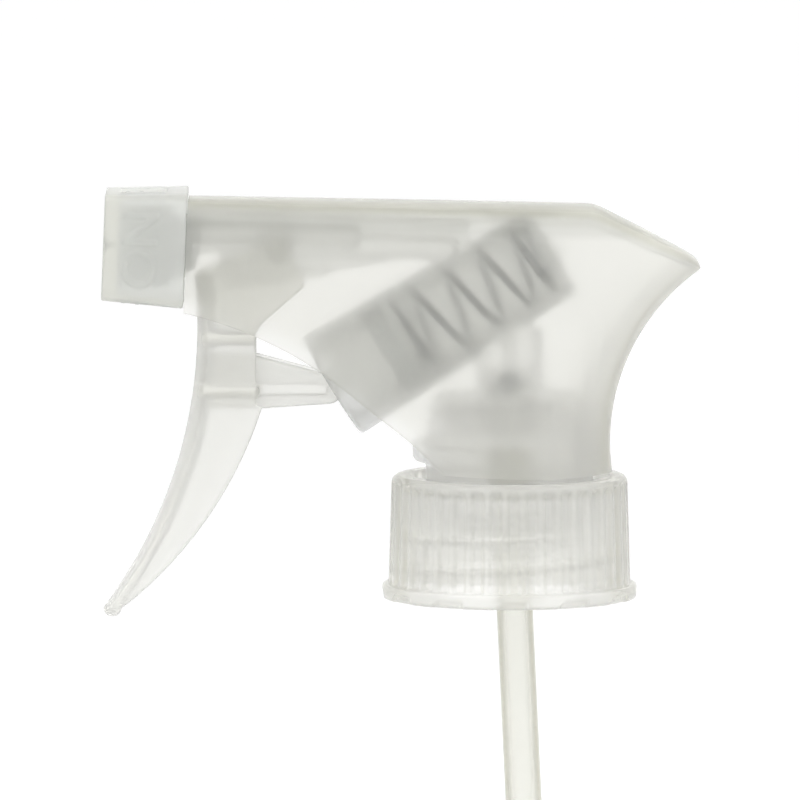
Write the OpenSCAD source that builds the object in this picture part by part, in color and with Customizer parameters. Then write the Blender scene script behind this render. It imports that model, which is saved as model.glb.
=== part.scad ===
// Trigger sprayer head on a 28/400 screw cap, in millimetres.
// Z is up along the cap's axis, -X is the spray direction, and Z = 0 is the cap's lower rim.

/* [Screw cap] */
// Radius of the cap's lower flange
flange_r = 17.1; // [16.8:0.1:17.6]
// Height of the cap
cap_h = 16.6; // [16.2:0.1:16.7]
// Number of grip ribs round the cap
cap_ribs = 40; // [30:1:48]
// Radius of the bore that takes the bottle's threaded neck
neck_bore_r = 14.1; // [14.0:0.05:14.2]

/* [Nozzle] */
// Side of the square nozzle at its rear end
nozzle_side = 15.4; // [14.8:0.1:15.6]
// Length of the nozzle along the spray axis
nozzle_len = 10.8; // [10.4:0.1:11.2]
// Angle that the spray axis rises towards the front
spray_tilt = 2.3; // [0:0.1:3]

/* [Shroud] */
// Wall thickness of the shroud
wall = 1.1; // [0.9:0.05:1.2]
// Radius of the shroud's round foot
foot_r = 13.5; // [13.3:0.05:13.7]
// Radius of the hollow curve down the shroud's back
back_arc_r = 28.4; // [27.5:0.1:29.5]

/* [Pump] */
// Angle of the pump cylinder above the horizontal
pump_tilt = 31.5; // [31:0.1:32]
// Bore radius of the pump cylinder
pump_bore_r = 6.3; // [6.25:0.01:6.35]
// Outer radius of the pump cylinder at its mouth
pump_r = 7.65; // [7.5:0.05:7.8]

/* [Return spring] */
// Wire diameter of the return spring
wire_d = 1.0; // [0.9:0.05:1.1]
// Outer diameter of the return spring
spring_od = 9.8; // [9.4:0.1:10]
// Working coils between the closed end coils
open_coils = 3.5; // [3:0.25:4]

/* [Trigger] */
// Radius of the hollow curve of the finger face
finger_arc_r = 63.1; // [60:0.1:66]
// Width of the trigger across its side walls
trigger_w = 12.2; // [11.6:0.1:12.4]
// Thickness of the finger wall
finger_wall = 1.35; // [1.2:0.05:1.5]

/* [Dip tube] */
// Outer diameter of the dip tube
tube_od = 4.9; // [4.8:0.05:4.95]
// Bore of the dip tube
tube_id = 3.9; // [3.6:0.1:4]
// Reach of the dip tube below the cap
tube_reach = 170; // [100:1:240]
// Angle that the dip tube leans backwards below its socket
tube_lean = 2.7; // [1:0.1:3]

/* [Hidden] */

eps = 0.01;

// Cap
rim_h = 1.95;
cap_foot_r = 16.25;
cap_top_r = 15.85;
rib_root_r = 15.35;
cap_round = 1.1;
lip_top = 15.1;
lip_under = 14.4;
lip_r = 11.6;
recess_r = 13.4;
notch_count = 12;

// Nozzle and barrel
front_x = -43.3;
axis_z = 47.15;
nozzle_taper = 3.1;
nozzle_wall = 1.05;
spigot_r = 4.2;
spigot_bore_r = 3.3;
barrel_r = 2.95;
barrel_bore_r = 1.5;
barrel_z = 49.35;
barrel_tilt = 1.9;
barrel_end_x = -20.1;

// Shroud: top line, sloped facet, hollow back and tail
top_front_z = 53.7;
top_slope = 0.0222;
crease_x = 11.4;
facet_slope = 0.489;
back_mid_z = 21;
tail_x = 25.7;
foot_z = 17.1;
foot_top = 20.8;
head_low = 44;
edge_r = 2.4;
front_half_w = 7.6;
head_half_w = 9.6;

// Pump
mouth_x = -23.85;
mouth_z = 28.5;
bore_end = 33.6;
pump_end = 34.7;
pump_end_r = 6.55;

// Pivot
pivot_x = -31.3;
pivot_z = 47.0;
eye_r = 1.8;
pin_r = 0.95;
pin_gap = 0.06;

// Body round the cap's axis
tube_r = 4.5;
tube_bore_r = 3.0;
ball_r = 1.6;
ball_z = 29.0;
ball_seat_z = ball_z - 1.18;
collar_low = 20.4;
collar_seat = 21.9;
collar_top = 25.4;
skirt_r = 11.2;
skirt_bore_r = 9.9;
flange_low = 12.0;
flange_top = 14.25;
held_r = 13.9;
plug_r = 9.6;
plug_bore_r = 8.3;
plug_low = 7.0;
lug_half_angle = 19;
ring_gap = 0.3;
ring_low = 18.4;
ring_top = 20.5;
lug_top = 21.2;
flange_flat_z = 44.4;

// Functions of the shroud's side view
function roof(x) = min(
    top_front_z - top_slope * (x - front_x),
    top_front_z - top_slope * (crease_x - front_x) - facet_slope * (x - crease_x)
);
function back(z) = foot_r + back_arc_r - sqrt(back_arc_r ^ 2 - (z - back_mid_z) ^ 2);

module along_pump(s = 0) {
    translate([mouth_x, 0, mouth_z])
        rotate([0, 90 - pump_tilt, 0])
            translate([0, 0, s])
                children();
}

module along_spray(s = 0) {
    translate([front_x, 0, axis_z])
        rotate([0, spray_tilt - 90, 0])
            translate([0, 0, s])
                children();
}

module side_plate(width) {
    rotate([90, 0, 0])
        linear_extrude(height = width, center = true)
            children();
}

// Screw cap ------------------------------------------------------------------

// Plan of the grip: one raised rib every pitch
module grip_plan() {
    pitch = 360 / cap_ribs;
    polygon([
        for (i = [0 : cap_ribs - 1])
            for (step = [[0.00, rib_root_r], [0.42, rib_root_r], [0.58, 17], [0.84, 17]])
                [step[1] * cos((i + step[0]) * pitch), step[1] * sin((i + step[0]) * pitch)]
    ]);
}

// Envelope that the ribs are turned down to, with a rounded top edge
module cap_envelope() {
    rotate_extrude($fn = 120)
        union() {
            polygon([
                [0, 0], [cap_foot_r, 0], [cap_foot_r, rim_h],
                [cap_top_r, cap_h - cap_round], [cap_top_r - cap_round, cap_h - cap_round],
                [cap_top_r - cap_round, cap_h], [0, cap_h]
            ]);
            translate([cap_top_r - cap_round, cap_h - cap_round])
                circle(r = cap_round, $fn = 48);
        }
}

// Shallow notch under the flange, slanted on one side and upright on the other
module flange_notch() {
    rotate([90, 0, 90])
        translate([0, 0, flange_r - 0.4])
            linear_extrude(height = 2)
                polygon([[-2.6, -0.5], [2.3, -0.5], [2.3, 0.95], [-1.4, 0.95]]);
}

module screw_cap() {
    color("gainsboro")
    difference() {
        union() {
            intersection() {
                linear_extrude(height = cap_h)
                    grip_plan();
                cap_envelope();
            }
            cylinder(r = flange_r, h = rim_h, $fn = 120);
            translate([0, 0, cap_h - 2.2])
                cylinder(r = rib_root_r + 0.25, h = 1.4, $fn = 120);
        }
        translate([0, 0, -eps])
            cylinder(r = neck_bore_r, h = lip_under + eps, $fn = 120);
        translate([0, 0, lip_under - eps])
            cylinder(r = lip_r, h = 3, $fn = 120);
        translate([0, 0, lip_top])
            cylinder(r = recess_r, h = 3, $fn = 120);
        for (i = [0 : notch_count - 1])
            rotate([0, 0, i * 360 / notch_count])
                flange_notch();
    }
}

module neck_gasket() {
    color("white")
    translate([0, 0, flange_low - 1.7])
        difference() {
            cylinder(r = held_r, h = 1.7, $fn = 96);
            translate([0, 0, -eps])
                cylinder(r = plug_r + 0.1, h = 2, $fn = 96);
        }
}

// Dip tube and its retainer --------------------------------------------------

tube_top = collar_low - 0.9;
socket_low = 14.8;
bend_z = 13.4;
straight_len = (tube_reach + bend_z) / cos(tube_lean);

// Length of tube, cut at its top to meet a length that stands at twice the mitre's angle
module tube_length(h, mitre) {
    difference() {
        translate([0, 0, -1])
            linear_extrude(height = h + 1)
                difference() {
                    circle(d = tube_od, $fn = 48);
                    circle(d = tube_id, $fn = 48);
                }
        rotate([0, mitre, 0])
            translate([-10, -10, -10])
                cube([20, 20, 10]);
    }
}

module dip_tube() {
    color("lightgray")
    translate([0, 0, bend_z]) {
        tube_length(tube_top - bend_z, -tube_lean / 2);
        rotate([0, 180 - tube_lean, 0])
            difference() {
                tube_length(straight_len, tube_lean / 2);
                // slanting cut at the foot, so that the tube can't seal on the bottle's floor
                translate([0, 0, straight_len - 1.5])
                    rotate([0, -30, 0])
                        translate([-20, -20, 0])
                            cube([40, 40, 20]);
            }
    }
}

module tube_retainer() {
    color("whitesmoke")
    rotate_extrude($fn = 72)
        polygon([
            // socket for the dip tube, open below
            [tube_od / 2 + 0.01, socket_low], [3.7, socket_low], [3.7, collar_low],
            // collar round the inlet tube
            [5.2, collar_low], [5.5, collar_low + 0.5], [5.5, collar_top - 0.4],
            [5.2, collar_top], [tube_r + 0.02, collar_top], [tube_r + 0.02, collar_seat],
            // spigot inside the inlet tube, with the ball's conical seat on top
            [tube_bore_r - 0.02, collar_seat], [tube_bore_r - 0.02, ball_seat_z + 0.9],
            [2.0, ball_seat_z + 0.9], [1.1, ball_seat_z], [1.1, tube_top],
            [tube_od / 2 + 0.01, tube_top]
        ]);
}

module inlet_ball() {
    color("dimgray")
    translate([0, 0, ball_z])
        sphere(r = ball_r, $fn = 48);
}

// Pump body ------------------------------------------------------------------

// Pump cylinder with a slight draft and a rounded closed end
module pump_cylinder() {
    along_pump()
        rotate_extrude($fn = 96)
            union() {
                polygon([
                    [0, 0], [pump_r - 0.3, 0], [pump_r, 0.3],
                    [pump_end_r, pump_end - 1.2], [pump_end_r - 1.2, pump_end - 1.2],
                    [pump_end_r - 1.2, pump_end], [0, pump_end]
                ]);
                translate([pump_end_r - 1.2, pump_end - 1.2])
                    circle(r = 1.2, $fn = 48);
            }
}

// Skirt, shroud ring, flange and neck plug, all round the cap's axis
module base_turning() {
    rotate_extrude($fn = 120)
        polygon([
            [plug_bore_r, plug_low], [plug_r - 0.4, plug_low], [plug_r, plug_low + 1],
            [plug_r, flange_low], [held_r, flange_low], [held_r, flange_top],
            [skirt_r, flange_top], [skirt_r, ring_low], [foot_r - wall - ring_gap, ring_low],
            [foot_r - wall - ring_gap, ring_top], [skirt_r, ring_top + 0.2],
            [skirt_r - 0.9, 26], [skirt_r - 1.4, 27.4], [tube_r - eps, 27.4],
            [tube_r - eps, 26.2], [skirt_bore_r - 0.8, 26.2], [skirt_bore_r, 25],
            [skirt_bore_r, 14], [plug_bore_r, 12.6]
        ]);
}

// Lug in the shroud's open front
module front_lug() {
    rotate([0, 0, 180 - lug_half_angle])
        rotate_extrude(angle = 2 * lug_half_angle, $fn = 120)
            polygon([
                [skirt_r - 0.5, ring_low], [12.5, ring_low], [13.0, ring_low + 0.5],
                [13.0, lug_top], [skirt_r - 0.5, lug_top]
            ]);
}

module barrel_line(x) {
    translate([x, 0, barrel_z - (x - front_x) * tan(barrel_tilt)])
        rotate([0, 90 + barrel_tilt, 0])
            children();
}

module pivot_eye(side) {
    translate([pivot_x, side * 3.3, pivot_z])
        rotate([90, 0, 0])
            cylinder(r = eye_r, h = 2.9, center = true, $fn = 48);
}

// Upright web with a foot, which stiffens the barrel from below
module barrel_web() {
    side_plate(1.0)
        polygon([[-38.8, 41.9], [-24.6, 43.7], [-17.5, 45.0], [-12, 46], [-12, 48], [-38.8, 49]]);
    side_plate(4.4)
        polygon([[-38.8, 41.5], [-24.6, 43.3], [-24.6, 44.4], [-38.8, 42.6]]);
}

// Flange behind the nozzle, flat below where the trigger's top edge passes
module spigot_flange() {
    difference() {
        along_spray(-1.4)
            cylinder(r = 4.9, h = 1.3, $fn = 72);
        translate([-50, -10, flange_flat_z - 10])
            cube([20, 20, 10]);
    }
}

module pump_body() {
    color("gainsboro")
    difference() {
        union() {
            pump_cylinder();
            base_turning();
            front_lug();
            // inlet tube up to the pump cylinder
            translate([0, 0, collar_seat + 0.02])
                cylinder(r = tube_r, h = 14.5, $fn = 72);
            barrel_web();
            // discharge barrel, and the spigot that the nozzle turns on
            barrel_line(front_x + 0.8)
                cylinder(r = barrel_r, h = 37, $fn = 72);
            spigot_flange();
            along_spray(-0.2)
                cylinder(r = spigot_r, h = 7.2, $fn = 72);
            along_spray(3.2)
                cylinder(r1 = spigot_r + 0.3, r2 = spigot_r, h = 1.0, $fn = 72);
            for (side = [-1, 1])
                pivot_eye(side);
        }
        // pump bore and its plugged end
        along_pump(-eps)
            cylinder(r = pump_bore_r, h = bore_end, $fn = 96);
        along_pump(-eps)
            cylinder(r1 = pump_bore_r + 0.5, r2 = pump_bore_r, h = 0.8, $fn = 96);
        along_pump(bore_end - 1)
            cylinder(r = 2.0, h = 3, $fn = 48);
        // spigot bore, barrel bore and the fine passage on to the pump
        along_spray(-0.8)
            cylinder(r = spigot_bore_r, h = 12, $fn = 72);
        barrel_line(front_x - 0.4)
            cylinder(r = barrel_bore_r, h = barrel_end_x - front_x + 0.4, $fn = 48);
        barrel_line(front_x + 5)
            cylinder(r = 0.5, h = 31, $fn = 32);
        translate([-7.2, 0, 40])
            cylinder(r = 0.5, h = 8.3, $fn = 32);
        // inlet bore and the passage above the ball
        translate([0, 0, collar_seat - 1])
            cylinder(r = tube_bore_r, h = 10.2, $fn = 72);
        translate([0, 0, 30])
            cylinder(r = 0.9, h = 9, $fn = 32);
        // pin holes of the trigger's pivot
        for (side = [-1, 1])
            translate([pivot_x, side * 4.2, pivot_z])
                rotate([90, 0, 0])
                    cylinder(r = pin_r + pin_gap, h = 2.2, center = true, $fn = 48);
        // vent hole that the piston uncovers
        along_pump(5.5)
            rotate([0, 90, 0])
                cylinder(r = 0.5, h = 9, $fn = 32);
    }
}

module cylinder_plug() {
    color("whitesmoke")
    along_pump(bore_end - 0.2)
        rotate_extrude($fn = 48)
            polygon([
                [0, 0], [2.4, 0], [2.4, 0.18], [1.98, 0.18], [1.98, 1.34], [2.4, 1.34], [2.2, 1.8],
                [0.7, 1.8], [0.6, 3.3], [0, 3.3]
            ]);
}

// Nozzle ---------------------------------------------------------------------

// Square frustum with rounded edges along the spray axis
module nozzle_block(inset, from, to, edge) {
    function half(s) = (nozzle_side / 2 - inset) - s * tan(nozzle_taper);
    hull()
        for (s = [from, to], x = [-1, 1], y = [-1, 1])
            translate([x * (half(s) - edge), y * (half(s) - edge), s == to ? s - 0.1 : s])
                cylinder(r = edge, h = 0.1, $fn = 32);
}

module nozzle_cap() {
    color("gainsboro")
    along_spray()
        difference() {
            union() {
                difference() {
                    nozzle_block(0, 0.3, nozzle_len + 0.3, 0.8);
                    nozzle_block(nozzle_wall, -1, nozzle_len - 1.7, 0.4);
                }
                // sleeve that turns on the body's spigot
                translate([0, 0, 2.2])
                    cylinder(r = 5.5, h = nozzle_len - 3.8, $fn = 72);
            }
            translate([0, 0, 3.0])
                cylinder(r = spigot_r + 0.35, h = 1.4, $fn = 72);
            translate([0, 0, 1])
                cylinder(r = spigot_r + 0.06, h = nozzle_len - 2.9, $fn = 72);
            // orifice and its countersink
            cylinder(r = 0.35, h = 20, $fn = 32);
            translate([0, 0, nozzle_len - 0.3])
                cylinder(r1 = 0.5, r2 = 1.9, h = 0.9, $fn = 48);
            // recessed panel on the top
            translate([nozzle_side / 2 - 0.95, -3.1, 3.0])
                cube([3, 6.2, 6.0]);
        }
}

module spinner() {
    spin_len = nozzle_len - 1.9;
    color("white")
    along_spray(-0.05)
        difference() {
            union() {
                cylinder(r = spigot_bore_r - 0.02, h = 1.8, $fn = 60);
                cylinder(r = 2.3, h = spin_len, $fn = 60);
                translate([0, 0, spin_len - 2.4])
                    cylinder(r = spigot_bore_r - 0.02, h = 2.4, $fn = 60);
            }
            // room for the valve's dome at the back
            translate([0, 0, -1])
                cylinder(r = 2.1, h = 2, $fn = 48);
            // swirl chamber and slots in the front face, and feed flats along the rim
            translate([0, 0, spin_len - 0.5])
                cylinder(r = 1.1, h = 2, $fn = 48);
            for (i = [0 : 2])
                rotate([0, 0, 120 * i]) {
                    translate([0.5, 0, spin_len - 0.5])
                        cube([4, 0.6, 2]);
                    translate([2.5, -0.6, -1])
                        cube([2, 1.2, 12]);
                }
        }
}

module discharge_valve() {
    color("lightsteelblue")
    along_spray(-0.78)
        rotate_extrude($fn = 60)
            polygon([
                [0, 0.55], [1.9, 0.3], [2.0, 0], [3.2, 0], [3.2, 0.7], [2.04, 0.7], [2.0, 0.9],
                [0, 1.15]
            ]);
}

// Trigger --------------------------------------------------------------------

finger_cx = -41.9 - finger_arc_r;
finger_cz = 36.5;
tip_x = -53.3;
tip_z = -1.45;
side_wall = 1.0;
tongue_w = 4.7;
blade_top = 26.3;
post_top = 43.8;
face_bow_r = 14;
nose_s = -0.55;
nose_r = 2.0;
nose_x = mouth_x + nose_s * cos(pump_tilt);
nose_z = mouth_z + nose_s * sin(pump_tilt);

// Bars swept round the finger face's own centre: the face bows outwards across its width
module finger_sweep(inset, depth) {
    translate([finger_cx, 0, finger_cz])
        rotate([90, 0, 0])
            rotate([0, 0, -44])
                rotate_extrude(angle = 56, $fn = 360)
                    intersection() {
                        translate([finger_arc_r + inset, -trigger_w])
                            square([depth, 2 * trigger_w]);
                        translate([finger_arc_r + face_bow_r, 0])
                            circle(r = face_bow_r - inset, $fn = 180);
                    }
}

// Side view: curved blade with a round tip, and the arm up to the pivot
module lever_side() {
    difference() {
        union() {
            intersection() {
                translate([-87.2, 43.2])
                    circle(r = 56.7, $fn = 360);
                translate([-60, tip_z])
                    square([40, blade_top - tip_z]);
            }
            translate([tip_x, tip_z])
                circle(r = 1.15, $fn = 48);
            polygon([
                [-46, blade_top - eps], [-46, post_top], [-41.4, post_top], [-32.2, 48.45],
                [-31.3, 48.7], [-29.5, 46.6], [-27.4, 42.4], [-33.4, 37.2], [-34.0, 35.9],
                [-34.0, blade_top - eps]
            ]);
            translate([pivot_x, pivot_z])
                circle(r = 1.8, $fn = 64);
        }
        // the arm's rear corner is rounded into the pivot
        translate([-26.6, 47.6])
            circle(r = 2.9, $fn = 64);
    }
}

// Front view: parallel above, drawn in to a round tip
module lever_front(inset) {
    tip_w = 7.4;
    rotate([90, 0, 90])
        linear_extrude(height = 200, center = true)
            hull() {
                translate([inset - trigger_w / 2, 22])
                    square([trigger_w - 2 * inset, 30]);
                translate([0, tip_z + tip_w / 2 - 1.2])
                    circle(d = tip_w - 2 * inset, $fn = 64);
            }
}

module tongue_side() {
    polygon([
        [-42.0, 25.6], [-33.2, 25.6], [nose_x, nose_z - nose_r], [nose_x, nose_z + nose_r],
        [-34.1, 32.8], [-41.6, 32.8]
    ]);
    translate([nose_x, nose_z])
        circle(r = nose_r, $fn = 64);
}

// Everything behind the middle of the finger wall
module behind_finger_wall() {
    translate([finger_cx, 0, finger_cz])
        rotate([90, 0, 0])
            difference() {
                cylinder(r = finger_arc_r + 40, h = 40, center = true, $fn = 360);
                cylinder(r = finger_arc_r + finger_wall / 2, h = 41, center = true, $fn = 360);
            }
}

module trigger() {
    color("gainsboro")
    union() {
        // channel: finger wall and two side walls, which run on up as the arms
        difference() {
            intersection() {
                finger_sweep(0, 17);
                side_plate(trigger_w)
                    lever_side();
                lever_front(0);
            }
            difference() {
                intersection() {
                    finger_sweep(finger_wall, 20);
                    lever_front(side_wall);
                }
                // closed foot of the channel
                translate([-60, -10, -12])
                    cube([20, 20, 11]);
            }
        }
        intersection() {
            union() {
                for (side = [-1, 1])
                    translate([0, side * (tongue_w / 2 - 0.45), 0])
                        side_plate(0.9)
                            tongue_side();
                // webs that tie the walls and the tongue together
                translate([-43, -trigger_w / 2 + 0.5, 34.6])
                    cube([9, trigger_w - 1, 1.2]);
                translate([-43.5, -trigger_w / 2 + 0.5, 27.5])
                    cube([9.9, trigger_w - 1, 1.2]);
                translate([-36, -tongue_w / 2 + 0.5, 27.5])
                    cube([11.4, tongue_w - 1, 1.2]);
            }
            behind_finger_wall();
        }
        // rib along the top of each arm, and the pivot pins
        for (side = [-1, 1]) {
            translate([0, side * (trigger_w / 2 - 0.95), 0])
                side_plate(1.9)
                    polygon([[-41.0, 43.0], [-41.0, 44.1], [-33.6, 47.6], [-33.6, 46.4]]);
            translate([pivot_x, side * 4.3, pivot_z])
                rotate([90, 0, 0])
                    cylinder(r = pin_r, h = 1.9, center = true, $fn = 48);
        }
    }
}

// Piston ---------------------------------------------------------------------

// Face that the trigger pushes, just clear of its nose
push_s = nose_s + nose_r + 0.15;

module piston() {
    color("white")
    along_pump()
        rotate_extrude($fn = 72)
            polygon([
                [0, push_s], [3.2, push_s], [3.6, push_s + 0.4], [3.6, 3.0], [6.25, 3.0], [6.25, 3.9],
                [4.2, 3.9], [4.2, 7.2], [6.22, 7.2], [6.22, 8.2], [4.6, 8.2], [4.6, 10.2],
                [5.6, 10.2], [5.6, 11.5], [3.6, 11.5], [3.2, 14.5], [2.2, 14.5],
                [2.2, 9.4], [0, 9.0]
            ]);
}

module piston_seal() {
    color("lightsteelblue")
    along_pump()
        rotate_extrude($fn = 72)
            polygon([
                [4.62, 8.25], [5.9, 8.25], [6.27, 8.7], [6.27, 9.2], [5.9, 9.6], [6.27, 10.9],
                [6.05, 11.1], [5.62, 10.15], [4.62, 10.15]
            ]);
}

// Return spring --------------------------------------------------------------

spring_from = 11.5;
spring_to = bore_end - 0.2;
coil_r = (spring_od - wire_d) / 2;
end_pitch = wire_d + 0.45;
coil_rise = spring_to - spring_from - wire_d;
open_pitch = (coil_rise - 2 * end_pitch) / open_coils;
turns = open_coils + 2;
rings_per_turn = 8;
spring_sides = 6;
ring_count = turns * rings_per_turn;

// Height of the wire's centre after t turns: close end coils, even open coils
function coil_height(t) =
    t < 1 ? end_pitch * t
    : t < 1 + open_coils ? end_pitch + open_pitch * (t - 1)
    : end_pitch + open_pitch * open_coils + end_pitch * (t - 1 - open_coils);
function coil_point(t) = [coil_r * cos(360 * t), coil_r * sin(360 * t), coil_height(t)];
function coil_dir(t) = let (d = coil_point(t + 0.01) - coil_point(t - 0.01)) d / norm(d);
// The wire's ends run straight for one diameter
function wire_point(i) =
    i < 0 ? coil_point(0) - wire_d * [0, 1, 0]
    : i > ring_count ? coil_point(turns) + wire_d * [-sin(360 * turns), cos(360 * turns), 0]
    : coil_point(i / rings_per_turn);
function wire_dir(i) =
    i < 0 ? [0, 1, 0]
    : i > ring_count ? [-sin(360 * turns), cos(360 * turns), 0]
    : coil_dir(i / rings_per_turn);
function wire_ring(i) =
    let (
        p = wire_point(i),
        d = wire_dir(i),
        out = [cos(360 * min(max(i / rings_per_turn, 0), turns)),
               sin(360 * min(max(i / rings_per_turn, 0), turns)), 0],
        side = cross(d, out) / norm(cross(d, out)),
        up = cross(side, d)
    )
    [for (k = [0 : spring_sides - 1])
        p + wire_d / 2 * (cos(360 * k / spring_sides) * side + sin(360 * k / spring_sides) * up)];

wire_rings = [for (i = [-1 : ring_count + 1]) wire_ring(i)];
wire_points = [for (ring = wire_rings) for (p = ring) p];
last_ring = len(wire_rings) - 1;
wire_faces = concat(
    [[for (k = [spring_sides - 1 : -1 : 1]) k, 0]],
    [for (i = [0 : last_ring - 1], k = [0 : spring_sides - 1], half = [0, 1])
        let (
            a = i * spring_sides + k,
            b = i * spring_sides + (k + 1) % spring_sides
        )
        half == 0 ? [a, b, b + spring_sides] : [a, b + spring_sides, a + spring_sides]],
    [[for (k = [0 : spring_sides - 1]) last_ring * spring_sides + k]]
);

// Least gap between turns, measured on points along the wire
spring_gap = min([
    for (t = [0 : 0.125 : turns], u = [t + 0.6 : 0.125 : turns])
        norm(coil_point(t) - coil_point(u)) - wire_d
]);
echo(least_spring_gap = spring_gap);

module return_spring() {
    color("darkslategray")
    along_pump(spring_from + wire_d / 2)
        polyhedron(points = wire_points, faces = wire_faces, convexity = 10);
}

// Shroud ---------------------------------------------------------------------

slices = 14;
edge_steps = 5;
side_steps = 9;
round_steps = 12;

// Half width of the round foot, and of the slim head above it
function foot_w(x) = sqrt(max(foot_r ^ 2 - min(x, 0) ^ 2, 0));
function head_w(x) =
    let (u = min(max((x - front_x) / (0 - front_x), 0), 1))
    front_half_w + (head_half_w - front_half_w) * sin(90 * u) ^ 1.2;
// Half width of the shroud before its back and top edges are rounded: the head swells to the foot
function half_w(x, z) =
    let (
        low = min(max((head_low - z) / (head_low - foot_top), 0), 1) ^ 1.4,
        both = (head_w(x) ^ 8 + foot_w(x) ^ 8) ^ (1 / 8)
    )
    head_w(x) * (1 - low) + both * low;

// Side view curve of slice g, from 0 at the foot to 1 at the roof, less an inset
function slice_z(g, x, low, inset) = low + (roof(x) - inset - low) * g;
// Where slice g meets the shroud's back
function slice_back(g, low, inset, n = 6) =
    n == 0 ? tail_x - inset
    : let (
        x = slice_back(g, low, inset, n - 1),
        z = slice_z(g, x, low, inset)
    )
    min(back(min(z, back_mid_z + back_arc_r - 1)), tail_x) - inset;

function shroud_ring(g, shrink, low, inset, front) =
    let (
        x_end = slice_back(g, low, inset),
        x_mid = 6 * g,
        half = concat(
            [for (i = [0 : side_steps - 1])
                let (x = front + (x_mid - front) * i / side_steps)
                [x, half_w(x, slice_z(g, x, low, inset)) - inset - shrink,
                 slice_z(g, x, low, inset)]],
            [for (i = [0 : round_steps])
                let (
                    a = 90 * i / round_steps,
                    x = x_mid + (x_end - shrink * 0.6 - x_mid) * sin(a),
                    z = slice_z(g, x, low, inset)
                )
                [x, (half_w(x_mid, z) - inset - shrink) * cos(a), z]]
        )
    )
    concat(half, [for (i = [len(half) - 2 : -1 : 0]) [half[i][0], -half[i][1], half[i][2]]]);

// Slices up the wall, then slices round the roof's edge
function shroud_rings(low, inset, front) =
    let (
        r = max(edge_r - inset, 0.8),
        height = top_front_z - inset - low,
        wall_top = 1 - r / height
    )
    concat(
        [for (i = [0 : slices]) shroud_ring(wall_top * i / slices, 0, low, inset, front)],
        [for (i = [1 : edge_steps])
            let (a = 90 * i / edge_steps)
            shroud_ring(wall_top + (1 - wall_top) * sin(a), r * (1 - cos(a)), low, inset, front)]
    );

// Closed skin through rings of equal length, with flat caps across the first and the last
module skin(rings) {
    n = len(rings[0]);
    m = len(rings);
    half = (n - 1) / 2;
    walls = [
        for (j = [0 : m - 2], i = [0 : n - 1], t = [0, 1])
            let (
                a = j * n + i,
                b = j * n + (i + 1) % n
            )
            t == 0 ? [a, b + n, a + n] : [a, b, b + n]
    ];
    function cap_faces(j, up) = [
        for (i = [0 : half - 1], t = [0, 1])
            let (
                a = j * n + i,
                b = j * n + i + 1,
                c = j * n + n - 2 - i,
                d = j * n + n - 1 - i,
                tri = t == 0 ? [a, b, d] : (i == half - 1 ? [] : [b, c, d])
            )
            if (len(tri) == 3)
                up ? tri : [tri[2], tri[1], tri[0]]
    ];
    polyhedron(
        points = [for (ring = rings) for (p = ring) p],
        faces = concat(walls, cap_faces(0, false), cap_faces(m - 1, true)),
        convexity = 8
    );
}

// Side view of what is cut away under the shroud's front: a bowed belly, then a straight slope
module belly_cut() {
    intersection() {
        translate([-55.4, -13.8])
            circle(r = 54, $fn = 360);
        translate([-100, -60])
            square([74.7, 120]);
    }
    polygon([[-25.4, 0], [-25.4, 31.2], [-13.1, 21.5], [-9.1, 17.3], [-9.1, 0]]);
}

module shroud() {
    color("gainsboro")
    difference() {
        skin(shroud_rings(foot_z, 0, front_x - 1));
        skin(shroud_rings(foot_z - 4, wall, front_x - 6));
        side_plate(60)
            belly_cut();
        // the front is cut square to the spray axis, an even gap behind the nozzle
        along_spray()
            translate([-40, -20, 0])
                cube([60, 40, 10]);
    }
}

shroud();
pump_body();
cylinder_plug();
nozzle_cap();
spinner();
discharge_valve();
trigger();
piston();
piston_seal();
return_spring();
inlet_ball();
tube_retainer();
neck_gasket();
screw_cap();
dip_tube();
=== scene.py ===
# %% [markdown]
# # A trigger sprayer head in see-through plastic
#
# The object is the head of a hand mister: a square nozzle, a hollow shroud with a pump inside it,
# a curved lever, a ribbed screw cap and a dip tube. Nearly all of it is natural polypropylene,
# which is the plastic with no colour put in. Light goes through it and is scattered a little, so
# every wall behind another one makes it a shade darker. The solids come from the CAD model. This
# lesson gives them their finish, and rebuilds the pieces whose looks need more than flat facets.

# %% Load the frame
import math

import bmesh
import bpy
from mathutils import Matrix, Vector


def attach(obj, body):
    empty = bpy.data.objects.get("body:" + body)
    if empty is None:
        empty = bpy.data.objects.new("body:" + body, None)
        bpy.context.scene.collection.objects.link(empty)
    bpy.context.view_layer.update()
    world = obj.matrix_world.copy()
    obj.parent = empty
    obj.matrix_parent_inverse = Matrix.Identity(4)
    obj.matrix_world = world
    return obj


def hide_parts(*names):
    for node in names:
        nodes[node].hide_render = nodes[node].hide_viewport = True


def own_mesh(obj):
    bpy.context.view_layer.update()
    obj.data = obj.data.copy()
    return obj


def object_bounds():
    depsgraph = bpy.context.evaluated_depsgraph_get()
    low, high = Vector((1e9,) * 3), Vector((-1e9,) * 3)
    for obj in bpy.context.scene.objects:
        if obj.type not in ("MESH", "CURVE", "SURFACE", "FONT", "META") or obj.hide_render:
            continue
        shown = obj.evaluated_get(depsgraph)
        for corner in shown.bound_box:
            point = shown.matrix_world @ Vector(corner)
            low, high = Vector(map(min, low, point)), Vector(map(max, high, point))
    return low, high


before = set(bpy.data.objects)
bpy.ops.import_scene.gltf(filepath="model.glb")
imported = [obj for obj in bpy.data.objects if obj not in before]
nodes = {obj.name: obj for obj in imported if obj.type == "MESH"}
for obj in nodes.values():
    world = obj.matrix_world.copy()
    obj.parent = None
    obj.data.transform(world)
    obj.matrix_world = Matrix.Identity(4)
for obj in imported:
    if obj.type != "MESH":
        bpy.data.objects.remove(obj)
cad_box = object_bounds()
MM = 0.001
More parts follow.
